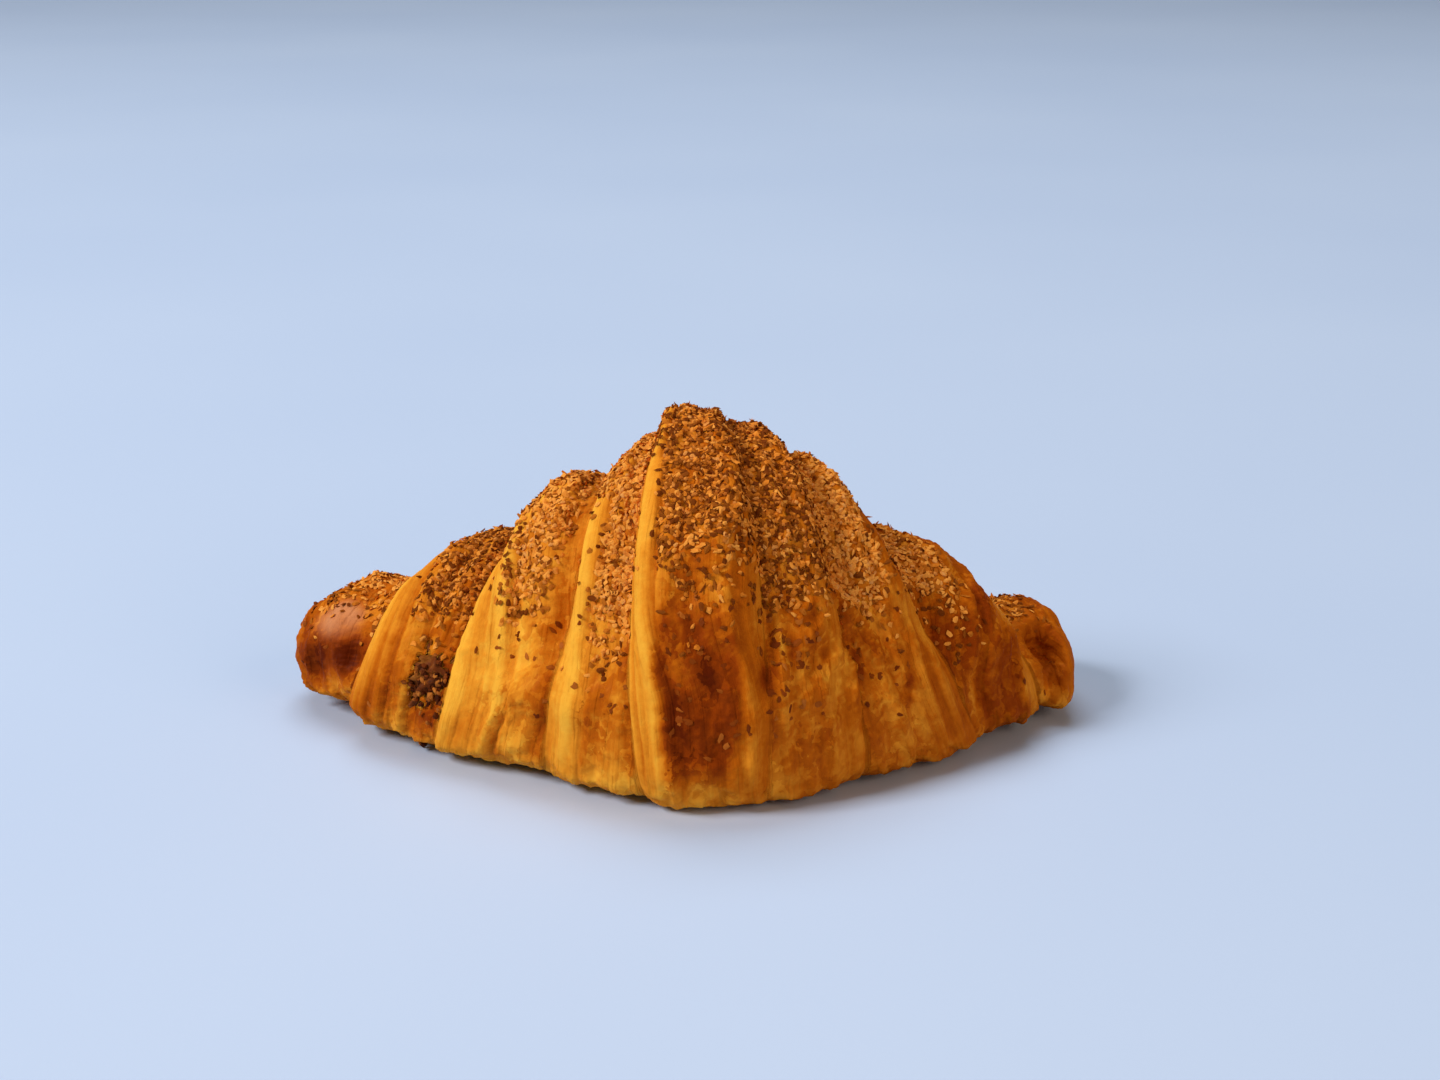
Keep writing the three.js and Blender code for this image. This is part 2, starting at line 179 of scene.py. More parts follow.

# Short dark slits, patches where the crust flakes, and a painted sheen on the left end, a pale
# patch that stands in for a highlight
SLITS = (
    Spot(28.7, 0.18, 0.8, 0.13, amount=0.45),
    Spot(15.0, 0.42, 0.8, 0.09, amount=0.4),
    Spot(20.4, 0.33, 0.7, 0.1, amount=0.4),
    Spot(10.5, 0.45, 0.7, 0.08, amount=0.4),
    Spot(6.9, 0.31, 0.6, 0.08, amount=0.35),
    Spot(-24.4, 0.7, 0.9, 0.08, amount=0.45),
)
FLAKY_SPOTS = (
    Spot(16.0, 0.3, 7.0, 0.5, amount=1.0),
    Spot(24.0, 0.62, 7.0, 0.3, amount=0.9),
    Spot(33.0, 0.2, 6.0, 0.4, amount=0.5),
    Spot(-30.0, 0.35, 6.0, 0.4, amount=0.6),
    Spot(-14.0, 0.4, 4.0, 0.3, amount=0.5),
    Spot(4.0, 0.05, 5.0, 0.4, amount=0.4),
)
# A painted highlight: a pale sheen on the left end, put into the crust's colour
PAINTED_SHEEN_PATCH = Spot(-65.3, 0.76, 4.6, 0.26, amount=0.85)


def between(low, high, share):
    """The value at a share of the way from low to high."""
    return low + (high - low) * share


def ease(low, high, value):
    """0 at low, 1 at high, smooth between them and level beyond. It falls where low is above high."""
    share = np.clip((value - low) / (high - low), 0.0, 1.0)
    return share * share * (3.0 - 2.0 * share)


# Noise over the crust

COLUMN_FACTOR = 374761393
ROW_FACTOR = 668265263
SALT_FACTOR = 974634437
MIX_FACTOR = 1274126177
WORD = 0xFFFFFFFF
HALF_WORD = 0xFFFF
PIMPLE_MIDDLE = (0.2, 0.8)
PIMPLE_SIZE = (0.25, 0.6)


def cell_draw(column, row, salt):
    """A repeatable draw between 0 and 1 for each cell of a plane."""
    mixed = (column * COLUMN_FACTOR + row * ROW_FACTOR + salt * SALT_FACTOR) & WORD
    mixed = ((mixed ^ (mixed >> 13)) * MIX_FACTOR) & WORD
    return ((mixed ^ (mixed >> 16)) & HALF_WORD) / HALF_WORD


def plane_noise(u, v, salt):
    """Smooth noise between 0 and 1, with cells one unit wide."""
    column = np.floor(u).astype(np.int64)
    row = np.floor(v).astype(np.int64)
    across = ease(0.0, 1.0, u - column)
    along = ease(0.0, 1.0, v - row)
    near = between(cell_draw(column, row, salt), cell_draw(column + 1, row, salt), across)
    far = between(cell_draw(column, row + 1, salt), cell_draw(column + 1, row + 1, salt), across)
    return between(near, far, along)


def layered_noise(u, v, salt, layers=3):
    """Noise between 0 and 1 with finer and weaker layers added."""
    total = np.zeros_like(u)
    weight = 0.0
    for layer in range(layers):
        scale = 2.0 ** layer
        total += plane_noise(u * scale, v * scale, salt + layer) / scale
        weight += 1.0 / scale
    return total / weight


def pimples(u, v, salt, share):
    """Round bumps in a share of the unit cells: 1 at the middle of the highest, and 0 between them."""
    height = np.zeros_like(u)
    for column_step in (-1, 0, 1):
        for row_step in (-1, 0, 1):
            column = np.floor(u).astype(np.int64) + column_step
            row = np.floor(v).astype(np.int64) + row_step
            middle_u = column + between(*PIMPLE_MIDDLE, cell_draw(column, row, salt))
            middle_v = row + between(*PIMPLE_MIDDLE, cell_draw(column, row, salt + 1))
            size = between(*PIMPLE_SIZE, cell_draw(column, row, salt + 2))
            present = cell_draw(column, row, salt + 3) < share
            far = ((u - middle_u) ** 2 + (v - middle_v) ** 2) / size ** 2
            bump = np.clip(1.0 - far, 0.0, 1.0) ** 2 * size / PIMPLE_SIZE[1]
            height = np.maximum(height, present * bump)
    return height


def terraces(level, steps, rise):
    """A level from 0 to 1 made into flat steps, each rising over this share of its width."""
    scaled = level * steps
    floor = np.floor(scaled)
    return (floor + ease(1.0 - rise, 1.0, scaled - floor)) / steps


# The roll's form

def slant_at(angle):
    """How far along its slant a wrap's edge is at an angle of the section, from 1 to -1."""
    turn = ((angle - TURN_START) / (2.0 * math.pi)) % 1.0
    out = 1.0 - 2.0 * turn / TURN_SHARE
    back = 2.0 * (turn - TURN_SHARE) / (1.0 - TURN_SHARE) - 1.0
    return np.where(turn < TURN_SHARE, out, back)


def edges_at(wraps, angle):
    """The distance from the middle at which each wrap of a side ends."""
    slant = slant_at(angle)
    edges = []
    least = 0.0
    for wrap in wraps:
        edge = np.maximum(HALF_LENGTH * (wrap.reach + wrap.slant * slant), least)
        edges.append(edge)
        least = edge + LEAST_BAND
    return edges


def section_radius(wrap, angle):
    """The section of a wrap at its crest: a round top on a boxy foot."""
    half_depth = MID_HALF_DEPTH * wrap.depth
    back_half_depth = MID_HALF_DEPTH * min(wrap.depth, BACK_DEPTH_MOST)
    across = np.abs(np.cos(angle)) / np.where(np.cos(angle) >= 0.0, half_depth, back_half_depth)
    up = np.abs(np.sin(angle))
    top = (across ** TOP_POWER + (up / (MID_RISE * wrap.rise)) ** TOP_POWER) ** (-1.0 / TOP_POWER)
    foot = (across ** FOOT_POWER + (up / (half_depth * FOOT_SHARE)) ** FOOT_POWER) ** (-1.0 / FOOT_POWER)
    return np.where(np.sin(angle) >= 0.0, top, foot)


def wrap_radius(wraps, edges, number, distance, angle):
    """The radius of a wrap: full at the crest, tucked in under the wrap before, gone at its edge."""
    wrap, edge = wraps[number], edges[number]
    share = np.minimum(distance / edge, 1.0)
    steepness = wrap.shoulder * (1.0 - SIDE_EASE * np.cos(angle) ** 2)
    inner = edges[number - 1] if number else 0.0
    back = np.clip((edge - distance) / (edge - inner), 0.0, 1.0)
    tuck = 1.0 - wrap.tuck * back ** 2
    return section_radius(wrap, angle) * np.sqrt(1.0 - share ** steepness) * tuck


def skin_radius(wraps, edges, distance, angle):
    """The radius of a skin laid over the crests of a side's wraps."""
    radius = section_radius(wraps[0], angle)
    for number in range(1, len(wraps)):
        rise = section_radius(wraps[number], angle) - section_radius(wraps[number - 1], angle)
        start, end = CREST_SHARE * edges[number - 1], CREST_SHARE * edges[number]
        radius = radius + rise * np.clip((distance - start) / (end - start), 0.0, 1.0)
    return radius


def bare_radius(wraps, distance, angle):
    """The radius of the outermost wrap of a side, with the valleys partly filled towards the foot."""
    edges = edges_at(wraps, angle)
    radii = [wrap_radius(wraps, edges, number, distance, angle) for number in range(len(wraps))]
    radius = np.max(radii, axis=0)
    low = 1.0 - ease(*FLUSH_RISE, np.sin(angle))
    within = 1.0 - ease(CREST_SHARE * edges[FLUSH_LAST], edges[FLUSH_LAST], distance)
    gap = np.maximum(skin_radius(wraps, edges, distance, angle) - radius, 0.0)
    return radius + FLUSH * low * within * gap


def bare_radius_both(station, angle):
    """The bare radius on either side of the middle."""
    left = bare_radius(LEFT_WRAPS, np.abs(station), angle)
    right = bare_radius(RIGHT_WRAPS, np.abs(station), angle)
    return np.where(station < 0.0, left, right)


def valleys_at(wraps, angle):
    """The distances at which each wrap of a side meets the next one, and the end of the tip."""
    edges = edges_at(wraps, angle)
    valleys = []
    inner = np.zeros_like(angle)
    for number in range(TIP):
        low, high = inner, edges[number]
        for _ in range(HALVINGS):
            middle = (low + high) / 2.0
            here = wrap_radius(wraps, edges, number, middle, angle)
            after = wrap_radius(wraps, edges, number + 1, middle, angle)
            low = np.where(here > after, middle, low)
            high = np.where(here > after, high, middle)
        inner = np.maximum(low, inner + LEAST_BAND / 2.0)
        valleys.append(inner)
    valleys.append(edges[TIP])
    return valleys


def patch(station, angle, spot, steepness=1):
    """A round patch: its amount in the middle, 0 far away, and flatter in the middle where steeper."""
    along = (station - spot.station) / spot.length
    turn = np.arctan2(np.sin(angle - spot.angle), np.cos(angle - spot.angle))
    far = along ** 2 + (turn / spot.spread) ** 2
    return spot.amount * np.exp(-(far ** steepness))


def patches(station, angle, spots, steepness=1):
    """The sum of the patches of several spots."""
    return sum(patch(station, angle, spot, steepness) for spot in spots)


DRAW_FACTOR = 1664525
DRAW_STEP = 1013904223
DRAW_RANGE = 2 ** 32


def solid_draws(seed):
    """The same run of draws between 0 and 1 as the solid's own."""
    state = seed
    while True:
        state = (state * DRAW_FACTOR + DRAW_STEP) % DRAW_RANGE
        yield state / DRAW_RANGE


def make_blisters():
    """The solid's blisters, from the same draws."""
    draws = solid_draws(SEED)
    blisters = []
    for _ in range(BLISTERS):
        station = HALF_LENGTH * between(*BLISTER_SPAN, next(draws))
        angle = between(*BLISTER_ANGLES, next(draws))
        radius = between(*BLISTER_RADIUS, next(draws))
        height = between(*BLISTER_HEIGHT, next(draws))
        spread = radius / float(bare_radius_both(np.array(station), np.array(angle)))
        blisters.append(Spot(station, angle, radius, spread, height))
    return blisters


BLISTER_SPOTS = make_blisters()


def crust_radius(station, angle):
    """The radius with the end hollows, the waves and the blisters."""
    bare = bare_radius_both(station, angle)
    hollow = patches(station, angle, (CUP, RIM), HOLLOW_STEEPNESS)
    lift = patches(station, angle, BLISTER_SPOTS)
    for wave in WAVES:
        lift += wave.height * np.sin(wave.turns * angle + wave.along * station + wave.start)
    fade = np.minimum(bare / AXIS_HEIGHT_TIP, 1.0)
    return bare * (1.0 - hollow) + fade * lift


def axis_at(station):
    """The roll's axis at a station: its place and its slope in plan."""
    root = np.hypot(1.0, station / BEND_WIDTH)
    slope = BEND_DEPTH * station / (BEND_WIDTH ** 2 * root)
    tip = HALF_LENGTH * np.where(station < 0.0, LEFT_WRAPS[TIP].reach, RIGHT_WRAPS[TIP].reach)
    share = np.minimum(np.abs(station) / tip, 1.0) ** AXIS_HEIGHT_POWER
    height = between(AXIS_HEIGHT_MID, AXIS_HEIGHT_TIP, share)
    place = np.stack([BEND_X + station, BEND_Y + BEND_DEPTH * (root - 1.0), height], axis=-1)
    return place, slope


def point_at(station, angle, radius):
    """A point by its station, angle and radius, with its height not yet held above the table."""
    place, slope = axis_at(station)
    sideways = radius * np.cos(angle)
    front_fan = between(1.0, BACK_FAN, ease(*SQUARE_END, station))
    fan = slope * np.where(sideways > 0.0, front_fan, BACK_FAN)
    reach = sideways / np.hypot(fan, 1.0)
    return place + np.stack([fan * reach, -reach, radius * np.sin(angle)], axis=-1)


def set_on_table(points):
    """The points with their lowest part flattened on the table, with a rounded foot."""
    height = points[..., 2]
    rounded = (height + np.hypot(height, FOOT_ROUND)) / 2.0
    points[..., 2] = np.maximum(rounded - FOOT_SETTLE, 0.0)
    return points


# The crust's grid: rows from the left tip to the right one, columns round the section from the base

def side_rows(wraps, angle):
    """The rows of one side from the middle out: distances, wrap numbers and shares of the wrap."""
    distances, numbers, shares = [], [], []
    inner = np.zeros_like(angle)
    for number, outer in enumerate(valleys_at(wraps, angle)):
        for ring in range(1, RINGS[number] + 1):
            run = ring / RINGS[number]
            share = math.sin(run * math.pi / 2.0) if number == TIP else 1.0 - (1.0 - run) ** EDGE_CROWD
            distances.append(between(inner, outer, share))
            numbers.append(number)
            shares.append(share)
        inner = outer
    return np.array(distances), np.array(numbers), np.array(shares)


def by_row(left, right):
    """One value a row, tip to tip, from those of the two sides. The middle row is the right side's."""
    return np.concatenate([left[::-1], right[:1], right])


column_share = np.arange(COLUMNS) / COLUMNS
column_angle = np.radians(np.interp(column_share, COLUMN_SHARES, COLUMN_DEGREES))
left_distance, left_number, left_share = side_rows(LEFT_WRAPS, column_angle)
right_distance, right_number, right_share = side_rows(RIGHT_WRAPS, column_angle)

station = np.vstack([-left_distance[::-1], np.zeros((1, COLUMNS)), right_distance])
angle = np.broadcast_to(column_angle, station.shape)
number = by_row(left_number, right_number)
share = by_row(left_share, right_share)
share[MIDDLE_ROW] = 0.0
is_left = np.arange(len(number)) < MIDDLE_ROW
band = np.where(is_left, TIP - number, TIP + number)


def finish_of(field):
    """One field of the wraps' finishes, row by row."""
    left = np.array([getattr(finish, field) for finish in LEFT_FINISHES])[number]
    right = np.array([getattr(finish, field) for finish in RIGHT_FINISHES])[number]
    return np.where(is_left, left, right)[:, None]


def normals_of(points):
    """The outward directions of a grid of points."""
    down_rows = np.gradient(points, axis=0)
    round_columns = np.roll(points, -1, axis=1) - np.roll(points, 1, axis=1)
    normals = np.cross(down_rows, round_columns)
    length = np.linalg.norm(normals, axis=-1, keepdims=True)
    return normals / np.maximum(length, TINY)


# Surface measures in millimetres: along the edge of a wrap from the base, and away from that edge
LEAST_CREST = 1.0
bare = bare_radius_both(station, angle)
bare_points = set_on_table(point_at(station, angle, bare))
across = np.zeros_like(station)
across[1:] = np.cumsum(np.linalg.norm(np.diff(bare_points, axis=0), axis=-1), axis=0)
along = np.zeros_like(station)
along[:, 1:] = np.cumsum(np.linalg.norm(np.diff(bare_points, axis=1), axis=-1), axis=1)
first_row = np.searchsorted(band, band, side="left")
last_row = np.searchsorted(band, band, side="right") - 1
edge_row = np.where(band <= TIP, np.maximum(first_row - 1, 0), last_row)
from_edge = np.abs(across - across[edge_row])
height = bare_points[..., 2]
height_share = height / np.maximum(height.max(axis=1, keepdims=True), LEAST_CREST)
tip_fade = np.minimum(bare / AXIS_HEIGHT_TIP, 1.0)

# One value a row, as columns that spread over the grid
SALT_STEP = 40
wrap_salt = (band * SALT_STEP)[:, None]
wrap_share = share[:, None]
in_middle = (number == 0)[:, None]
in_tip = (number == TIP)[:, None]
on_left = is_left[:, None]

# Noises over the crust: the sizes of their cells along the two measures they are given, in millimetres
Cells = namedtuple("Cells", "u v salt layers", defaults=(3,))
BORDER_CELLS = Cells(7.0, 9.0, 1)
WANDER_CELLS = Cells(11.0, 30.0, 5, layers=1)
FINE_LEAF_CELLS = Cells(1.3, 26.0, 6)
BROAD_LEAF_CELLS = Cells(3.1, 34.0, 10, layers=2)
FLAKE_CELLS = Cells(4.2, 6.5, 14)
PIMPLE_CELLS = Cells(2.3, 2.6, 18)
GRAIN_CELLS = Cells(1.6, 1.9, 24, layers=2)
PATCHY_CELLS = Cells(5.5, 9.0, 28)
STREAK_CELLS = Cells(1.2, 30.0, 32)
COVER_CELLS = Cells(6.0, 6.0, 36)
FOLD_CELLS = Cells(2.2, 60.0, 40, layers=2)
FOOT_LUMP_CELLS = Cells(5.0, 6.0, 44, layers=2)
FOOT_CRUMB_CELLS = Cells(2.4, 2.6, 48, layers=2)


def crust_noise(u, v, cells, shift=0.0):
    """Noise between 0 and 1 over two measures of the crust, different in each wrap."""
    return layered_noise(u / cells.u + shift, v / cells.v, wrap_salt + cells.salt, cells.layers)


# The cut edge of each wrap, with an uneven border
BORDER_WOBBLE = 0.3
BORDER_EASE = (-0.1, 0.14)
border = finish_of("border")
border_wobble = BORDER_WOBBLE * (crust_noise(along, from_edge, BORDER_CELLS) - 0.5)
cut_edge = ease(border + BORDER_EASE[0], border + BORDER_EASE[1], wrap_share + border_wobble)
crest = 1.0 - cut_edge

# Fine relief, with heights in millimetres: leaves of dough on the cut edges, pleats along the wraps,
# flaking and pimples on the crests, and a crumbly foot. Flaking is higher where the crust is flaky.
LEAF_WANDER = 1.4
FOLD_WANDER = 0.4
FLAKE_STEPS = 6
FLAKE_RISE = 0.3
FLAKE_RIM = (0.6, 0.95)
PIMPLE_SHARE = 0.55
NEAR_FOOT = (11.0, 2.0)
TIP_PLEATS = 0.4
RIGHT_PLEATS = 0.75
PLEATS_LOST_IN_FLAKES = 0.6
PLEATS_LOST_AT_FOOT = 0.55
LEAF_HEIGHT = 0.5
PLEAT_HEIGHT = 1.5
FLAKING_HEIGHT = (2.2, 4.6)
PIMPLE_HEIGHT = 0.5
GRAIN_HEIGHT = 0.16
FOOT_LUMP_HEIGHT = 1.6
FOOT_CRUMB_HEIGHT = 1.3
FOOT_DRAWN_IN = 0.3
wander = LEAF_WANDER * crust_noise(along, from_edge, WANDER_CELLS)
fine_leaves = crust_noise(from_edge, along, FINE_LEAF_CELLS, wander) - 0.5
broad_leaves = crust_noise(from_edge, along, BROAD_LEAF_CELLS, wander) - 0.5
folds = 2.0 * crust_noise(from_edge, along, FOLD_CELLS, FOLD_WANDER * wander) - 1.0
flake_level = crust_noise(from_edge, along, FLAKE_CELLS)
flaking = terraces(flake_level, FLAKE_STEPS, FLAKE_RISE) - 0.5
flake_rims = ease(*FLAKE_RIM, (flake_level * FLAKE_STEPS) % 1.0)
pimple_salt = wrap_salt + PIMPLE_CELLS.salt
pimpled = pimples(from_edge / PIMPLE_CELLS.u, along / PIMPLE_CELLS.v, pimple_salt, PIMPLE_SHARE)
grain = crust_noise(from_edge, along, GRAIN_CELLS) - 0.5
foot_lumps = crust_noise(along, from_edge, FOOT_LUMP_CELLS) - 0.5
foot_crumbs = crust_noise(along, from_edge, FOOT_CRUMB_CELLS) - 0.5
near_foot = ease(*NEAR_FOOT, height)
flaky = np.clip(patches(station, angle, FLAKY_SPOTS), 0.0, 1.0)
flaked = np.maximum(crest, flaky)
pleat_share = np.where(in_tip, TIP_PLEATS, np.where(on_left, 1.0, RIGHT_PLEATS))
pleats = folds * pleat_share * (1.0 - PLEATS_LOST_IN_FLAKES * flaky)
pleats = pleats * (1.0 - PLEATS_LOST_AT_FOOT * near_foot)
fine_relief = cut_edge * (1.0 - flaky) * LEAF_HEIGHT * (fine_leaves + broad_leaves)
fine_relief += PLEAT_HEIGHT * pleats + GRAIN_HEIGHT * grain
fine_relief += flaked * (between(*FLAKING_HEIGHT, flaky) * flaking + PIMPLE_HEIGHT * pimpled)
fine_relief += near_foot * (FOOT_LUMP_HEIGHT * foot_lumps + FOOT_CRUMB_HEIGHT * foot_crumbs - FOOT_DRAWN_IN)

rough_points = point_at(station, angle, crust_radius(station, angle))
rough_points = rough_points + (tip_fade * fine_relief)[..., None] * normals_of(rough_points)
crust_points = set_on_table(rough_points)
crust_normals = normals_of(crust_points)

# How far each place is baked. The tones of flaking are for firm and for flaky crust, those of streaks
# and pleats for the crest and for the cut edge, and those of the foot for the right and for the left.
# The pleats' tone is painted light and shade: lighter on their ridges and darker in their grooves.
ROOT_EASE = (0.05, 0.4)
PATCHY_BAKE = 0.4
FLAKING_BAKE = (0.25, 0.37)
FLAKE_RIM_BAKE = (0.1, 0.18)
STREAK_BAKE = (0.06, 0.14)
PLEAT_LIGHT_AND_SHADE = (0.22, 0.36)
RIGHT_PLEAT_LIGHT_AND_SHADE = 0.7
FOOT_PALE = 0.7
FOOT_PALE_HEIGHTS = (9.0, 2.0)
FOOT_PALE_ANGLES = (-1.1, -0.5)
FOOT_BAKE = (0.42, 0.16)
FOOT_BAKE_STATIONS = (8.0, -4.0)
FOOT_CRUMB_BAKE = 0.5
from_root = np.where(in_middle, 1.0, ease(*ROOT_EASE, wrap_share))
bake_and_painted_shading = between(finish_of("root"), finish_of("crest"), from_root)
bake_and_painted_shading = between(bake_and_painted_shading, finish_of("edge"), cut_edge)
for spots, part in ((BAKE_SPOTS, crest), (EDGE_SPOTS, cut_edge), (SLITS, 1.0)):
    bake_and_painted_shading = bake_and_painted_shading + part * patches(station, angle, spots)
patchy = crust_noise(from_edge, along, PATCHY_CELLS) - 0.5
streaky = crust_noise(from_edge, along, STREAK_CELLS, wander) - 0.5
flake_tone = between(*FLAKING_BAKE, flaky) * flaking - between(*FLAKE_RIM_BAKE, flaky) * flake_rims
# Painted light and shade on the pleats: lighter on the ridges, darker in the grooves
pleat_light_and_shade = between(*PLEAT_LIGHT_AND_SHADE, cut_edge) * pleats * np.where(on_left, 1.0, RIGHT_PLEAT_LIGHT_AND_SHADE)
bake_and_painted_shading = bake_and_painted_shading + flaked * (PATCHY_BAKE * patchy + flake_tone)
bake_and_painted_shading = bake_and_painted_shading + between(*STREAK_BAKE, cut_edge) * streaky - pleat_light_and_shade
foot_pale = ease(*FOOT_PALE_HEIGHTS, crust_points[..., 2]) * ease(*FOOT_PALE_ANGLES, angle)
foot_bake = between(*FOOT_BAKE, ease(*FOOT_BAKE_STATIONS, station)) - FOOT_CRUMB_BAKE * foot_crumbs
bake_and_painted_shading = between(bake_and_painted_shading, foot_bake, FOOT_PALE * foot_pale)

# How thickly the herbs lie: thick on the upper crest and thin down the sides. Hardly any lie in the
# hollows of the ends, on the painted sheen of the left end, or on the cut edges below their tops.
COVER_WOBBLE = 0.16
TOP_COVER = (0.0, 0.26)
TIP_COVER = 0.45
RUN_DOWN = 0.16
TIP_RUN_DOWN = 0.012
RUN_DOWN_HEIGHTS = (0.4, 0.75)
STREWN_LEFT = 0.7
STRIP_TOP = 0.84
MIDDLE_STRIP_TOP = 0.92
STRIP_FADE = (0.0, 0.12)
STREWN_RIGHT = 0.8
BARE_RIGHT_WRAP = 2
STREWN_BARE_WRAP = 0.2
STREWN_RIGHT_HEIGHTS = (0.5, 0.75)
EDGE_BARENESS = 0.97
HOLLOW_BARENESS = 2.5
PAINTED_SHEEN_BARENESS = 0.9
HERB_END = (-0.12, 0.16)
HERB_START = (-0.14, 0.06)
cover_wobble = COVER_WOBBLE * (crust_noise(along, from_edge, COVER_CELLS) - 0.5)
top_cover = ease(*TOP_COVER, height_share + cover_wobble - finish_of("low"))
run_down = np.where(in_tip, TIP_RUN_DOWN, RUN_DOWN) * ease(*RUN_DOWN_HEIGHTS, height_share)
strip_top = np.where(in_middle, MIDDLE_STRIP_TOP, STRIP_TOP)
strewn_left = STREWN_LEFT * ease(*STRIP_FADE, height_share - strip_top)
strewn_right = np.where(number == BARE_RIGHT_WRAP, STREWN_BARE_WRAP, STREWN_RIGHT)[:, None]
strewn_right = strewn_right * ease(*STREWN_RIGHT_HEIGHTS, height_share)
bare_edge = cut_edge * (1.0 - np.where(on_left, strewn_left, strewn_right))
herb_end = finish_of("herbs")
herb_band = 1.0 - ease(*HERB_END, wrap_share - herb_end) * (herb_end < 1.0)
# Where painted shade darkens the hollows of the ends, which also keep herbs out
end_hollow_shade = patches(station, angle, (CUP_PAINTED_SHADE, RIM_PAINTED_SHADE), HOLLOW_STEEPNESS)
painted_sheen_patch = patch(station, angle, PAINTED_SHEEN_PATCH, HOLLOW_STEEPNESS)
cover = np.maximum(top_cover * np.where(in_tip, TIP_COVER, 1.0), run_down)
cover = cover * (1.0 - EDGE_BARENESS * bare_edge) * herb_band
cover = cover * np.clip(1.0 - HOLLOW_BARENESS * end_hollow_shade - PAINTED_SHEEN_BARENESS * painted_sheen_patch, 0.0, 1.0)
cover = cover * ease(*HERB_START, wrap_share - finish_of("bare_root"))

# Under the thick of the herbs the crust has a light, dull tone. The hollows of the ends are darkened
# with painted shade, a brown tone.
UNDER_HERBS_BAKE = 0.3
UNDER_HERBS_SHARE = 0.75
HOLLOW_PAINTED_SHADE = 0.6
HOLLOW_SHADE_SHARE = 0.9
GLOSS_LOST = 0.7
PAINTED_SHEEN_LEAST = 0.6
PAINTED_SHEEN_EASE = (-0.16, 0.12)
bake_and_painted_shading = between(bake_and_painted_shading, UNDER_HERBS_BAKE, UNDER_HERBS_SHARE * top_cover * crest * herb_band)
bake_and_painted_shading = np.clip(between(bake_and_painted_shading, HOLLOW_PAINTED_SHADE, HOLLOW_SHADE_SHARE * end_hollow_shade), 0.0, 1.0)
gloss = finish_of("gloss") * crest * (1.0 - GLOSS_LOST * top_cover)
# The painted sheen on the left end, a pale tone in place of a highlight, patchy at its border
pale = painted_sheen_patch * between(PAINTED_SHEEN_LEAST, 1.0, ease(*PAINTED_SHEEN_EASE, patchy))

# How much lighter than usual the herbs are, partly their own tone and partly painted light on the
# shaded right side: where they lie thin, where they lie thick, and a little more at the lower end of
# the thick of them on the middle band
THIN_TONE_AND_PAINTED_LIGHT_MIDDLE = -0.26
THIN_TONE_AND_PAINTED_LIGHT_LEFT = -0.12
THIN_TONE_AND_PAINTED_LIGHT_RIGHT = -0.08
THICKENING = (0.1, 0.7)
MIDDLE_TONE_AND_PAINTED_LIGHT = 0.12
MIDDLE_TONE_AND_PAINTED_LIGHT_HEIGHTS = (0.85, 0.6)
MIDDLE_TONE_AND_PAINTED_LIGHT_COVER = (0.3, 0.7)
thin_tone_and_painted_light = np.where(in_middle, THIN_TONE_AND_PAINTED_LIGHT_MIDDLE, np.where(on_left, THIN_TONE_AND_PAINTED_LIGHT_LEFT, THIN_TONE_AND_PAINTED_LIGHT_RIGHT))
toast = between(thin_tone_and_painted_light, finish_of("toast"), ease(*THICKENING, cover))
lower_middle = in_middle * ease(*MIDDLE_TONE_AND_PAINTED_LIGHT_HEIGHTS, height_share) * ease(*MIDDLE_TONE_AND_PAINTED_LIGHT_COVER, cover)
toast = toast + MIDDLE_TONE_AND_PAINTED_LIGHT * lower_middle


# Making meshes

def moved_sphere(points):
    """A sphere's mesh whose grid of points is moved to these, with the row and column of each vertex."""
    rows, columns = points.shape[0] - 1, points.shape[1]
    shell = bmesh.new()
    bmesh.ops.create_uvsphere(shell, u_segments=columns, v_segments=rows, radius=1.0)
    unit = np.array([vert.co for vert in shell.verts])
    polar = np.arctan2(np.hypot(unit[:, 0], unit[:, 1]), unit[:, 2])
    row = np.rint(polar / math.pi * rows).astype(int)
    turn = np.arctan2(unit[:, 1], unit[:, 0]) / (2.0 * math.pi)
    column = np.rint(turn * columns).astype(int) % columns
    for vert, point in zip(shell.verts, points[row, column] * MM):
        vert.co = point
    bmesh.ops.recalc_face_normals(shell, faces=shell.faces)
    return shell, row, column


def add_object(name, data):
    """A new object in the scene."""
    made = bpy.data.objects.new(name, data)
    bpy.context.scene.collection.objects.link(made)
    return made


def piece_from(name, shell, smooth=True):
    """A piece made from a bmesh, which is freed."""
    mesh = bpy.data.meshes.new(name)
    shell.to_mesh(mesh)
    shell.free()
    mesh.polygons.foreach_set("use_smooth", [smooth] * len(mesh.polygons))
    return add_object(name, mesh)


def write_field(piece, name, values):
    """One number for each vertex, kept in the mesh for the material to read."""
    field = piece.data.attributes.new(name, "FLOAT", "POINT")
    field.data.foreach_set("value", np.ascontiguousarray(values, dtype=np.float32))


def combine(piece, other, operation):
    """Joins another piece to this one, or cuts it away, and removes the other."""
    change = piece.modifiers.new(operation.lower(), "BOOLEAN")
    change.operation = operation
    change.solver = "MANIFOLD"
    change.object = other
    bpy.context.view_layer.update()
    changed = piece.evaluated_get(bpy.context.evaluated_depsgraph_get())
    mesh = bpy.data.meshes.new_from_object(changed)
    piece.modifiers.clear()
    piece.data = mesh
    bpy.data.objects.remove(other)


# The crust

crust_shell, vert_row, vert_column = moved_sphere(crust_points)
crust = piece_from("crust", crust_shell)
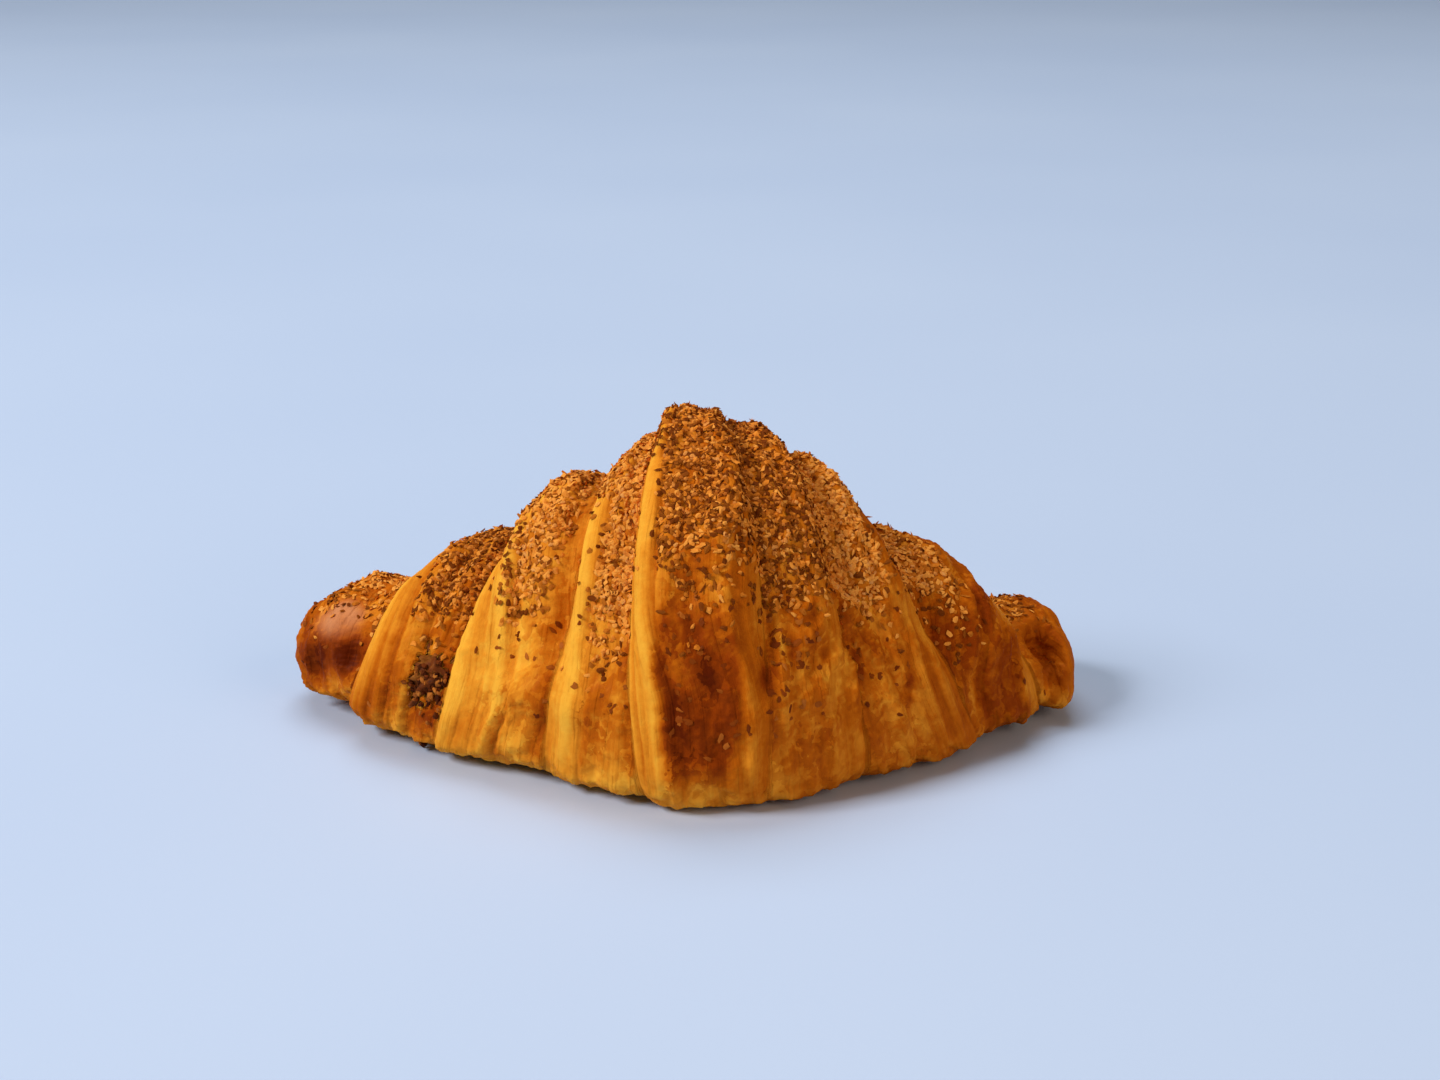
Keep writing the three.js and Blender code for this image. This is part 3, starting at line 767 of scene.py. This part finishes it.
# The tone field holds the baking, painted shade in the end hollows, and painted light and shade on the
# pleats
for field_name, values in (
    ("bake_and_painted_shading", bake_and_painted_shading),
    ("cut_edge", cut_edge),
    ("from_edge", from_edge),
    ("along_edge", along),
    ("gloss", gloss),
    # The painted sheen on the left end
    ("pale", pale),
):
    write_field(crust, field_name, values[vert_row, vert_column])


# The filling: a core along the axis and a lump at the seam

CORE_ROWS = 60
CORE_COLUMNS = 24
LUMP_SUBDIVISIONS = 5
LUMP_BUMPS = 4.6
LUMP_FINE_BUMPS = 1.3
LUMP_SALTS = (7, 9)
LUMP_BUMP_SHARE = 0.8
LUMP_BUMP_LEVEL = 0.8
LUMP_CRUMBLY = 2.2


def core_points(gap):
    """The core's grid of points, grown by a gap for the hollow that holds it."""
    run = -np.cos(np.linspace(0.0, math.pi, CORE_ROWS + 1))[:, None]
    place = between(CORE_ENDS[0] - gap, CORE_ENDS[1] + gap, (run + 1.0) / 2.0)
    radius = (CORE_RADIUS + gap) * np.sqrt(np.maximum(1.0 - run ** CORE_END_POWER, 0.0))
    turn = (2.0 * math.pi * np.arange(CORE_COLUMNS) / CORE_COLUMNS)[None, :]
    place, turn, radius = np.broadcast_arrays(place, turn, radius)
    return point_at(place, turn, radius)


def lump_shell(gap):
    """The lump, from the core to just outside the crust, with a crumbly surface."""
    spot_station, spot_angle = np.array(LUMP_STATION), np.array(LUMP_ANGLE)
    outer = Vector(point_at(spot_station, spot_angle, crust_radius(spot_station, spot_angle)))
    place = Vector(axis_at(spot_station)[0])
    outward = (outer - place).normalized()
    sideways = Vector((0.0, 0.0, 1.0)).cross(outward).normalized()
    upward = outward.cross(sideways)
    centre = outer + outward * (LUMP_PROUD - LUMP_HALF_SIZE[0])
    turned = Matrix((outward, sideways, upward)).transposed()
    shell = bmesh.new()
    bmesh.ops.create_icosphere(shell, subdivisions=LUMP_SUBDIVISIONS, radius=1.0)
    unit = np.array([vert.co for vert in shell.verts])
    u, v = unit[:, 1] * LUMP_BUMPS, unit[:, 2] * LUMP_BUMPS
    bumps = pimples(u, v, LUMP_SALTS[0], LUMP_BUMP_SHARE)
    bumps = bumps + layered_noise(u * LUMP_FINE_BUMPS, v * LUMP_FINE_BUMPS, LUMP_SALTS[1])
    half = np.array(LUMP_HALF_SIZE) + gap
    local = unit * half + unit * (LUMP_CRUMBLY * (bumps[:, None] - LUMP_BUMP_LEVEL))
    for vert, point in zip(shell.verts, local):
        vert.co = (centre + turned @ Vector(point)) * MM
    return shell


def make_filling(name, gap):
    """The core and the lump as one piece, grown by a gap."""
    piece = piece_from(name, moved_sphere(core_points(gap))[0])
    combine(piece, piece_from("lump", lump_shell(gap)), "UNION")
    return piece


filling = make_filling("filling", 0.0)
combine(crust, make_filling("hollow", FILLING_GAP), "DIFFERENCE")


# Toppings: small chips strewn over the crust. A tint runs from 0, dark, to 1, light, and a share of
# the chips stays dark where the others are lighter. That lightening is partly the chips' own tone and
# partly painted light on the shaded right side.

HERB_CHIPS = 12000
TAN_GRAINS = 1500
PASTE_CRUMBS = 80
CRUST_FLAKES = 240
HERB_SIDES = 7
FLAKE_SIDES = 9
TINTS = (-0.12, 1.13)
DARK_SHARE = 0.2
GRAIN_COVER = (0.35, 0.65)
PASTE_SPOTS = (
    Spot(LUMP_STATION, LUMP_ANGLE, 3.2, 0.15, amount=1.0),
    Spot(LUMP_STATION - 4.0, -0.62, 1.0, 0.06, amount=1.0),
)
FLAKE_HEIGHTS = (0.12, 0.3)
FLAKES_ON_PALE = 0.25
FLAKES_ON_ENDS = 0.25
FIRST_END_WRAP = 3
FLAKE_TRAIL = Spot(8.2, 0.45, 2.6, 0.4, amount=1.6)
rng = np.random.default_rng(SEED)


def strewn_places(count, weight):
    """Places drawn over the crust's grid by area and weight, with the directions there."""
    corner = crust_points
    over = np.roll(crust_points, -1, axis=1)
    sides = np.cross(corner[1:] - corner[:-1], over[:-1] - corner[:-1])
    area = np.linalg.norm(sides, axis=-1)
    chance = (area * weight[:-1]).ravel()
    cell = rng.choice(chance.size, count, p=chance / chance.sum())
    row, column = np.unravel_index(cell, area.shape)
    after = (column + 1) % COLUMNS
    down = rng.random(count)[:, None]
    aside = rng.random(count)[:, None]

    def at(grid):
        upper = between(grid[row, column], grid[row, after], aside)
        lower = between(grid[row + 1, column], grid[row + 1, after], aside)
        return between(upper, lower, down)

    normals = at(crust_normals)
    normals /= np.linalg.norm(normals, axis=1, keepdims=True)
    tangents = crust_points[row, after] - crust_points[row, column]
    tangents -= normals * np.sum(normals * tangents, axis=1, keepdims=True)
    tangents /= np.maximum(np.linalg.norm(tangents, axis=1, keepdims=True), TINY)
    return at(crust_points), normals, tangents, toast[row, column]


def make_form(make, **sizes):
    """The points and triangles of a form one unit in radius."""
    shell = bmesh.new()
    make(shell, radius=1.0, **sizes)
    bmesh.ops.triangulate(shell, faces=shell.faces)
    points = np.array([vert.co for vert in shell.verts])
    faces = np.array([[vert.index for vert in face.verts] for face in shell.faces])
    shell.free()
    return points, faces


def chip_form(sides):
    """Two cones base to base, with a sharp rim."""
    return make_form(bmesh.ops.create_uvsphere, u_segments=sides, v_segments=2)


def strewn_piece(name, form, count, weight, least, most, ragged, tilt, lift, curl):
    """One mesh of many copies of a form, with half sizes between two, each rough, turned and tilted."""
    points, normals, tangents, lighter = strewn_places(count, weight)
    base, faces = form
    half_sizes = between(np.array(least), np.array(most), rng.random((count, 3)))
    shape = base[None] * half_sizes[:, None, :]
    shape = shape * (1.0 + ragged * (rng.random((count, len(base), 1)) - 0.5) * 2.0)
    shape[..., 2] += curl * rng.normal(size=(count, 1)) * shape[..., 0] ** 2
    spin = rng.random(count) * 2.0 * math.pi
    lean = tilt * rng.normal(size=count)
    bitangents = np.cross(normals, tangents)
    right = np.cos(spin)[:, None] * tangents + np.sin(spin)[:, None] * bitangents
    ahead = np.cross(normals, right)
    tipped = np.cos(lean)[:, None] * right + np.sin(lean)[:, None] * normals
    upright = np.cross(tipped, ahead)
    axes = np.stack([tipped, ahead, upright], axis=1)
    set_points = np.einsum("nvi,nij->nvj", shape, axes) + (points + lift * normals)[:, None, :]
    all_faces = faces[None] + (np.arange(count) * len(base))[:, None, None]
    mesh = bpy.data.meshes.new(name)
    mesh.from_pydata(set_points.reshape(-1, 3) * MM, [], all_faces.reshape(-1, 3))
    piece = add_object(name, mesh)
    # The lightening is partly the chips' own tone and partly painted light on the shaded right side
    lightened = rng.random(count) > DARK_SHARE
    tint = between(*TINTS, rng.random(count)) + lighter * lightened
    write_field(piece, "tint", np.repeat(tint, len(base)))
    return piece


grain_form = make_form(bmesh.ops.create_icosphere, subdivisions=1)
herb_chips = strewn_piece(
    "herb_chips", chip_form(HERB_SIDES), HERB_CHIPS, cover,
    least=(0.45, 0.28, 0.12), most=(1.0, 0.55, 0.26), ragged=0.35, tilt=0.36, lift=0.2, curl=0.2)
grain_weight = cover * ease(*GRAIN_COVER, cover)
tan_grains = strewn_piece(
    "tan_grains", grain_form, TAN_GRAINS, grain_weight,
    least=(0.4, 0.3, 0.22), most=(0.8, 0.5, 0.4), ragged=0.2, tilt=0.2, lift=0.15, curl=0.0)
paste_crumbs = strewn_piece(
    "paste_crumbs", grain_form, PASTE_CRUMBS, patches(station, angle, PASTE_SPOTS),
    least=(0.35, 0.3, 0.25), most=(1.0, 0.8, 0.7), ragged=0.3, tilt=0.4, lift=0.7, curl=0.0)
flake_weight = crest * ease(*FLAKE_HEIGHTS, height_share) * (1.0 - top_cover)
flake_weight = flake_weight * (FLAKES_ON_PALE + bake_and_painted_shading ** 2)
flake_weight = flake_weight * np.where(number < FIRST_END_WRAP, 1.0, FLAKES_ON_ENDS)[:, None]
flake_weight = flake_weight + patch(station, angle, FLAKE_TRAIL)
crust_flakes = strewn_piece(
    "crust_flakes", chip_form(FLAKE_SIDES), CRUST_FLAKES, flake_weight,
    least=(0.4, 0.3, 0.06), most=(1.0, 0.6, 0.12), ragged=0.45, tilt=0.1, lift=0.08, curl=0.05)


# Materials

class Value:
    """A socket of a material. Sums on it add Math nodes."""

    def __init__(self, look, socket):
        self.look = look
        self.socket = socket

    def sum(self, operation, first, second):
        """The result of a Math node."""
        return self.look.node("ShaderNodeMath", {"operation": operation}, {0: first, 1: second})

    def __add__(self, other):
        return self.sum("ADD", self, other)

    def __radd__(self, other):
        return self.sum("ADD", other, self)

    def __sub__(self, other):
        return self.sum("SUBTRACT", self, other)

    def __rsub__(self, other):
        return self.sum("SUBTRACT", other, self)

    def __mul__(self, other):
        return self.sum("MULTIPLY", self, other)

    def __rmul__(self, other):
        return self.sum("MULTIPLY", other, self)

    def __abs__(self):
        return self.look.node("ShaderNodeMath", {"operation": "ABSOLUTE"}, {0: self})


class Look:
    """A material whose nodes are added one by one."""

    def __init__(self, name, roughness, specular):
        self.material = bpy.data.materials.new(name)
        self.material.use_nodes = True
        self.tree = self.material.node_tree
        self.shader = self.tree.nodes["Principled BSDF"]
        self.shader.inputs["Roughness"].default_value = roughness
        self.shader.inputs["Specular IOR Level"].default_value = specular

    def node(self, kind, settings=None, inputs=None, output=0):
        """A node of a kind, with its settings made first and then its sockets filled or linked."""
        made = self.tree.nodes.new(kind)
        for name, value in (settings or {}).items():
            setattr(made, name, value)
        for key, value in (inputs or {}).items():
            if isinstance(value, Value):
                self.tree.links.new(value.socket, made.inputs[key])
            else:
                made.inputs[key].default_value = value
        return Value(self, made.outputs[output])

    def field(self, name):
        """A number kept in the piece's mesh."""
        return self.node("ShaderNodeAttribute", {"attribute_name": name}, output="Fac")

    def noise(self, place, scale, detail=2.0):
        """Noise about a half, over a place in the piece."""
        sockets = {"Vector": place, "Scale": scale, "Detail": detail}
        return self.node("ShaderNodeTexNoise", {"noise_dimensions": "3D"}, sockets)

    def cells(self, place, scale):
        """A draw between 0 and 1 for each ragged cell of a plane."""
        settings = {"voronoi_dimensions": "2D", "feature": "F1"}
        sockets = {"Vector": place, "Scale": scale}
        return self.node("ShaderNodeTexVoronoi", settings, sockets, output="Color")

    def range(self, value, low, high):
        """A value made 0 at low and 1 at high, smooth between them."""
        sockets = {"Value": value, "From Min": low, "From Max": high}
        return self.node("ShaderNodeMapRange", {"interpolation_type": "SMOOTHSTEP"}, sockets)

    def ramp(self, value, stops):
        """A value's colour on a ramp, from the places and colours of its stops."""
        ramped = self.node("ShaderNodeValToRGB", inputs={0: value})
        elements = ramped.socket.node.color_ramp.elements
        while len(elements) < len(stops):
            elements.new(1.0)
        for element, (place, colour) in zip(elements, stops):
            element.position = place
            element.color = colour
        return ramped

    def mix(self, share, first, second):
        """A colour at a share of the way from the first to the second."""
        sockets = {"Factor": share, 6: first, 7: second}
        return self.node("ShaderNodeMix", {"data_type": "RGBA"}, sockets, output=2)

    def object_place(self):
        """The place in the piece, in metres."""
        return self.node("ShaderNodeTexCoord", output="Object")

    def place_from(self, x, y):
        """A place in a plane from two numbers."""
        return self.node("ShaderNodeCombineXYZ", inputs={0: x, 1: y})

    def feed(self, name, value):
        """Links a value to a socket of the shader."""
        self.tree.links.new(value.socket, self.shader.inputs[name])

    def bump(self, height, strength, distance):
        """Makes the surface look bumpy by a height."""
        sockets = {"Height": height, "Strength": strength, "Distance": distance}
        self.feed("Normal", self.node("ShaderNodeBump", inputs=sockets))


SCREEN_FULL = 255.0


def tone(red, green, blue):
    """A colour as a screen shows it, from 0 to 255, as the linear one that a node takes."""
    def linear(level):
        level /= SCREEN_FULL
        return level / 12.92 if level <= 0.04045 else ((level + 0.055) / 1.055) ** 2.4
    return (linear(red), linear(green), linear(blue), 1.0)


# The colours of crust from pale to dark, and those of the toppings and the filling from dark to light
BAKE_STOPS = (
    (0.0, tone(246, 176, 56)),
    (0.22, tone(229, 143, 36)),
    (0.45, tone(193, 98, 11)),
    (0.7, tone(148, 60, 5)),
    (1.0, tone(92, 28, 2)),
)
# The pale pinkish tone of the painted sheen on the left end, in place of a highlight
PAINTED_SHEEN_TONE = tone(214, 144, 98)
HERB_STOPS = (
    (0.0, tone(116, 54, 10)),
    (0.25, tone(150, 80, 18)),
    (0.45, tone(182, 102, 26)),
    (0.65, tone(218, 126, 36)),
    (1.0, tone(238, 158, 66)),
)
GRAIN_STOPS = ((0.0, tone(176, 96, 30)), (0.6, tone(210, 130, 54)), (1.0, tone(228, 156, 80)))
PASTE_STOPS = ((0.0, tone(62, 24, 6)), (0.5, tone(112, 50, 14)), (1.0, tone(196, 118, 46)))
FLAKE_STOPS = ((0.0, tone(116, 48, 7)), (0.6, tone(150, 72, 15)), (1.0, tone(182, 102, 34)))
FILLING_STOPS = (
    (0.3, tone(60, 26, 8)),
    (0.5, tone(114, 54, 18)),
    (0.62, tone(142, 84, 28)),
    (0.75, tone(190, 120, 50)),
)

# How much each layer of the crust's fine pattern adds to its tone and to the height of its bumps
Layer = namedtuple("Layer", "tone height")
LEAVES = Layer(tone=0.05, height=0.14)
EDGE_LEAVES = Layer(tone=0.09, height=0.16)
CREASES = Layer(tone=0.03, height=-0.25)
PLATES = Layer(tone=0.26, height=1.8)
MOTTLE = Layer(tone=0.24, height=0.6)
SPECKLE = Layer(tone=0.18, height=0.3)

# Scales of the pattern: cells in a millimetre away from the edge and along it, or cells in a metre
LEAF_SCALE = (1.6, 0.06)
CREASE_SCALE = (0.34, 0.02)
PLATE_SCALE = (0.3, 0.17)
WANDER_SCALE = 420.0
SPECKLE_SCALE = 900.0
MOTTLE_SCALE = 260.0
CHUNK_SCALE = 420.0
CHIP_SCALE = 1500.0

# The noise's detail, the place and width of creases, the wander of plates, and the mottle of chips
FINE_DETAIL = 3.0
CREASE_SHIFT = 40.0
CREASE_WIDTH = 0.09
PLATE_WANDER = 3.0
CHIP_MOTTLE = 0.25

# The crust's shine
CRUST_ROUGHNESS = 0.62
GLOSS_SMOOTHS = 0.22
MOTTLE_ROUGHENS = 0.2
GLOSS_COAT = 0.35
COAT_ROUGHNESS = 0.34


def make_crust_look():
    """Baked dough: creased pale leaves on the cut edges, and flaking brown crests with a slight glaze."""
    look = Look("baked_crust", roughness=CRUST_ROUGHNESS, specular=0.02)
    place = look.object_place()
    cut_edge = look.field("cut_edge")
    gloss = look.field("gloss")
    out, along = look.field("from_edge"), look.field("along_edge")

    def over_leaves(scale, shift):
        return look.place_from(out * scale[0] + shift, along * scale[1])

    leaves = look.noise(over_leaves(LEAF_SCALE, 0.0), 1.0, FINE_DETAIL) - 0.5
    crease_level = look.noise(over_leaves(CREASE_SCALE, CREASE_SHIFT), 1.0, FINE_DETAIL)
    creases = look.range(abs(crease_level - 0.5), CREASE_WIDTH, 0.0)
    wander = look.noise(place, WANDER_SCALE, FINE_DETAIL) * PLATE_WANDER
    plate_place = look.place_from(out * PLATE_SCALE[0] + wander, along * PLATE_SCALE[1] + wander)
    plates = (look.cells(plate_place, 1.0) - 0.5) * (1.0 - cut_edge)
    speckle = look.noise(place, SPECKLE_SCALE, FINE_DETAIL) - 0.5
    mottle = look.noise(place, MOTTLE_SCALE, FINE_DETAIL) - 0.5

    # The tone field holds the baking with painted shade in the end hollows and on the pleats' grooves
    bake_and_painted_shading = look.field("bake_and_painted_shading") + leaves * (LEAVES.tone + EDGE_LEAVES.tone * cut_edge)
    bake_and_painted_shading = bake_and_painted_shading + creases * CREASES.tone + plates * PLATES.tone
    bake_and_painted_shading = bake_and_painted_shading + mottle * MOTTLE.tone + speckle * SPECKLE.tone
    # The colour mixes in the painted sheen on the left end, a pale tone in place of a highlight
    look.feed("Base Color", look.mix(look.field("pale"), look.ramp(bake_and_painted_shading, BAKE_STOPS), PAINTED_SHEEN_TONE))
    look.feed("Roughness", CRUST_ROUGHNESS - gloss * GLOSS_SMOOTHS + mottle * MOTTLE_ROUGHENS)
    look.feed("Coat Weight", gloss * GLOSS_COAT)
    look.shader.inputs["Coat Roughness"].default_value = COAT_ROUGHNESS
    height = leaves * (LEAVES.height + EDGE_LEAVES.height * cut_edge)
    height = height + creases * CREASES.height + plates * PLATES.height
    height = height + mottle * MOTTLE.height + speckle * SPECKLE.height
    look.bump(height, strength=0.7, distance=0.7 * MM)
    return look.material


def make_chip_look(name, stops, roughness):
    """Small toppings, each chip with its own tone."""
    look = Look(name, roughness=roughness, specular=0.04)
    mottle = look.noise(look.object_place(), CHIP_SCALE)
    look.feed("Base Color", look.ramp(look.field("tint") + (mottle - 0.5) * CHIP_MOTTLE, stops))
    look.bump(mottle, strength=0.4, distance=0.2 * MM)
    return look.material


def make_filling_look():
    """Dark moist herb paste."""
    look = Look("herb_paste", roughness=0.55, specular=0.06)
    chunks = look.noise(look.object_place(), CHUNK_SCALE, FINE_DETAIL)
    look.feed("Base Color", look.ramp(chunks, FILLING_STOPS))
    look.bump(chunks, strength=0.6, distance=0.8 * MM)
    return look.material


def dress(piece, material):
    """The material as the piece's only one."""
    piece.data.materials.clear()
    piece.data.materials.append(material)


dress(crust, make_crust_look())
dress(filling, make_filling_look())
dress(herb_chips, make_chip_look("dried_herbs", HERB_STOPS, roughness=0.75))
dress(tan_grains, make_chip_look("tan_grain", GRAIN_STOPS, roughness=0.6))
dress(paste_crumbs, make_chip_look("paste_crumb", PASTE_STOPS, roughness=0.6))
dress(crust_flakes, make_chip_look("peeled_crust", FLAKE_STOPS, roughness=0.5))

for piece in (crust, filling, herb_chips, tan_grains, paste_crumbs, crust_flakes):
    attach(piece, "root")
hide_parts("croissant")
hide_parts("herb_filling")


# The table, the light and the camera, in metres

FLOOR_HALF_SIZE = 4.0
FLOOR_SCALE = 3.0
FLOOR_STOPS = ((0.3, tone(192, 211, 243)), (0.7, tone(198, 216, 246)))
ROOM_COLOUR = (1.0, 0.92, 0.82, 1.0)
ROOM_STRENGTH = 0.12
LENS = 65.0
SENSOR_WIDTH = 36.0
CAMERA_PLACE = (0.00759, -0.4765, 0.183)
CAMERA_PITCH = 16.6
Light = namedtuple("Light", "name place aim size power colour")
LIGHTS = (
    Light("window", (-2.0, -1.1, 1.8), (0.0, 0.0, 0.02), size=1.0, power=66.0, colour=(1.0, 0.97, 0.93)),
    Light("ceiling", (-0.2, 0.9, 2.2), (0.0, 0.0, 0.0), size=1.6, power=25.0, colour=(0.9, 0.97, 1.0)),
    Light("fill", (1.7, -1.6, 1.1), (0.0, 0.0, 0.03), size=1.5, power=19.0, colour=(1.0, 0.76, 0.52)),
)


def make_floor():
    """A plain pale floor that belongs to the stage."""
    sheet = bmesh.new()
    bmesh.ops.create_grid(sheet, x_segments=2, y_segments=2, size=FLOOR_HALF_SIZE)
    floor = piece_from("floor", sheet, smooth=False)
    look = Look("pale_floor", roughness=0.8, specular=0.1)
    look.feed("Base Color", look.ramp(look.noise(look.object_place(), FLOOR_SCALE), FLOOR_STOPS))
    dress(floor, look.material)


def make_world():
    """Dim warm light from all round."""
    world = bpy.data.worlds.new("soft_room")
    world.use_nodes = True
    background = world.node_tree.nodes["Background"]
    background.inputs["Color"].default_value = ROOM_COLOUR
    background.inputs["Strength"].default_value = ROOM_STRENGTH
    bpy.context.scene.world = world


def make_light(light):
    """A square lamp that faces what it is aimed at."""
    lamp = bpy.data.lights.new(light.name, "AREA")
    lamp.shape = "SQUARE"
    lamp.size = light.size
    lamp.energy = light.power
    lamp.color = light.colour
    holder = add_object(light.name, lamp)
    holder.location = light.place
    direction = Vector(light.aim) - Vector(light.place)
    holder.rotation_euler = direction.to_track_quat("-Z", "Y").to_euler()


def make_camera():
    """The camera, pitched down at the bulging side."""
    lens = bpy.data.cameras.new("camera")
    lens.lens = LENS
    lens.sensor_width = SENSOR_WIDTH
    camera = add_object("camera", lens)
    camera.location = CAMERA_PLACE
    camera.rotation_euler = (math.radians(90.0 - CAMERA_PITCH), 0.0, 0.0)
    bpy.context.scene.camera = camera


make_floor()
make_world()
for light in LIGHTS:
    make_light(light)
make_camera()
bpy.context.scene.view_settings.view_transform = "Standard"
